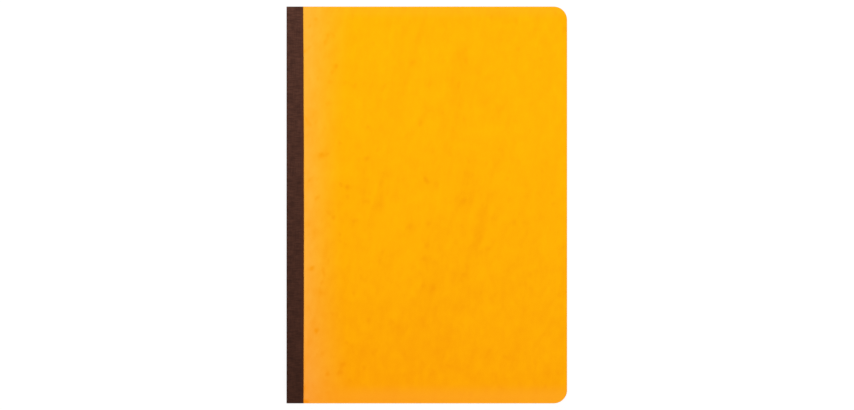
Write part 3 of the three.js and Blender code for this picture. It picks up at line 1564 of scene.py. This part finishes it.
@dataclass
class Studio:
    """Pale floor, soft lamps and the camera square above the book."""

    plan: BookPlan
    lamps: Sequence[Softbox] = (
        Softbox("key_softbox", place=(-0.35, 1.6, 1.2), size=1.2, watts=27.2),
        Softbox("fill_softbox", place=(0.6, -1.45, 1.45), size=1.5, watts=19.0),
    )
    floor_drop: float = 1.5 * MM
    floor_half: float = 6.0
    floor_matt: float = 0.16
    floor_glow: float = 0.88
    ambient: float = 0.455
    bounce: float = 0.8
    horizon_band: Span = (-0.05, 0.05)
    ceiling: float = 0.05
    ceiling_band: Span = (0.2, 0.85)
    camera_distance: float = 3.0
    camera_reach: float = 100.0
    view_width: float = 639.2 * MM
    centre_shift: tuple[float, float] = (0.15 * MM, -0.02 * MM)
    sensor: float = 36.0

    def build(self) -> None:
        """Sets up the floor, the world, the lamps, the camera and the view."""
        self._floor()
        self._world()
        for lamp in self.lamps:
            lamp.hang()
        self._camera()
        bpy.context.scene.view_settings.view_transform = "Standard"

    def _floor(self) -> None:
        """Lays a white floor that keeps the book's shadow, and is open to light and view from below."""
        bm = bmesh.new()
        bmesh.ops.create_grid(bm, x_segments=1, y_segments=1, size=self.floor_half)
        bmesh.ops.translate(bm, verts=bm.verts[:], vec=(0.0, 0.0, self.plan.bottom - self.floor_drop))
        paint = Paint("studio_floor")
        matt = paint.shader("ShaderNodeBsdfDiffuse", Color=(self.floor_matt,) * 3)
        glow = paint.shader("ShaderNodeEmission", Color=(1.0, 1.0, 1.0), Strength=self.floor_glow)
        white = paint.node("ShaderNodeAddShader", {}, {0: matt, 1: glow}).outputs[0]
        clear = paint.shader("ShaderNodeBsdfTransparent")
        above = 1 - Term(paint, paint.node("ShaderNodeNewGeometry").outputs["Backfacing"])
        paint.show(paint.blend(paint.rays("Camera", "Glossy", "Transmission") * above, clear, white))
        mesh = bpy.data.meshes.new("studio_floor")
        bm.to_mesh(mesh)
        bm.free()
        mesh.materials.append(paint.material)
        floor = bpy.data.objects.new("studio_floor", mesh)
        bpy.context.scene.collection.objects.link(floor)

    def _world(self) -> None:
        """Makes an even sky: white to the camera, and darker overhead to a glossy surface."""
        world = bpy.data.worlds.new("studio_sky")
        bpy.context.scene.world = world
        sky = Graph(world, "ShaderNodeOutputWorld")
        white = {"Color": (1.0, 1.0, 1.0)}
        direction = sky.node("ShaderNodeTexCoord").outputs["Generated"]
        upward = Term(sky, sky.node("ShaderNodeSeparateXYZ", {}, {0: direction}).outputs[2])
        overhead = 1 - (1 - self.ceiling) * upward.rise(*self.ceiling_band)
        around = self.ambient + (self.bounce - self.ambient) * (1 - upward.rise(*self.horizon_band))
        gloss = sky.shader("ShaderNodeBackground", **white, Strength=overhead)
        ambient = sky.shader("ShaderNodeBackground", **white, Strength=around)
        backdrop = sky.shader("ShaderNodeBackground", **white, Strength=1.0)
        lit = sky.blend(sky.rays("Glossy"), ambient, gloss)
        sky.show(sky.blend(sky.rays("Camera", "Transmission"), lit, backdrop))

    def _camera(self) -> None:
        """Hangs a long lens over the cover, square to it, with the head at the top."""
        data = bpy.data.cameras.new("camera")
        data.sensor_width = self.sensor
        data.lens = self.sensor * self.camera_distance / self.view_width
        data.clip_end = self.camera_reach
        camera = bpy.data.objects.new("camera", data)
        bpy.context.scene.collection.objects.link(camera)
        x, y = self.centre_shift
        camera.location = (x, y, self.plan.board_face + self.camera_distance)
        bpy.context.scene.camera = camera


def corners(box: tuple[Vector, Vector]) -> list[list[float]]:
    """A box as plain lists of numbers."""
    return [list(corner) for corner in box]


def main() -> None:
    """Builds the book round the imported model, in the studio."""
    logging.basicConfig(level=logging.INFO, format="%(name)s: %(message)s")
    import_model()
    plan = BookPlan.read()
    Studio(plan).build()
    pieces = [Cover(side, plan, Pressboard()).build() for side in Side]
    pieces += SpineTape(plan, BookCloth()).build()
    pieces += [Endpaper(side, plan, Endleaf()).build() for side in Side]
    pieces += BookBlock(plan, LedgerPaper()).build()
    pieces.append(Sewing(plan).build())
    for piece in pieces:
        LOG.info("built %s with %d faces", piece.name, len(piece.data.polygons))
    bpy.context.view_layer.update()


if __name__ == "__main__":
    main()
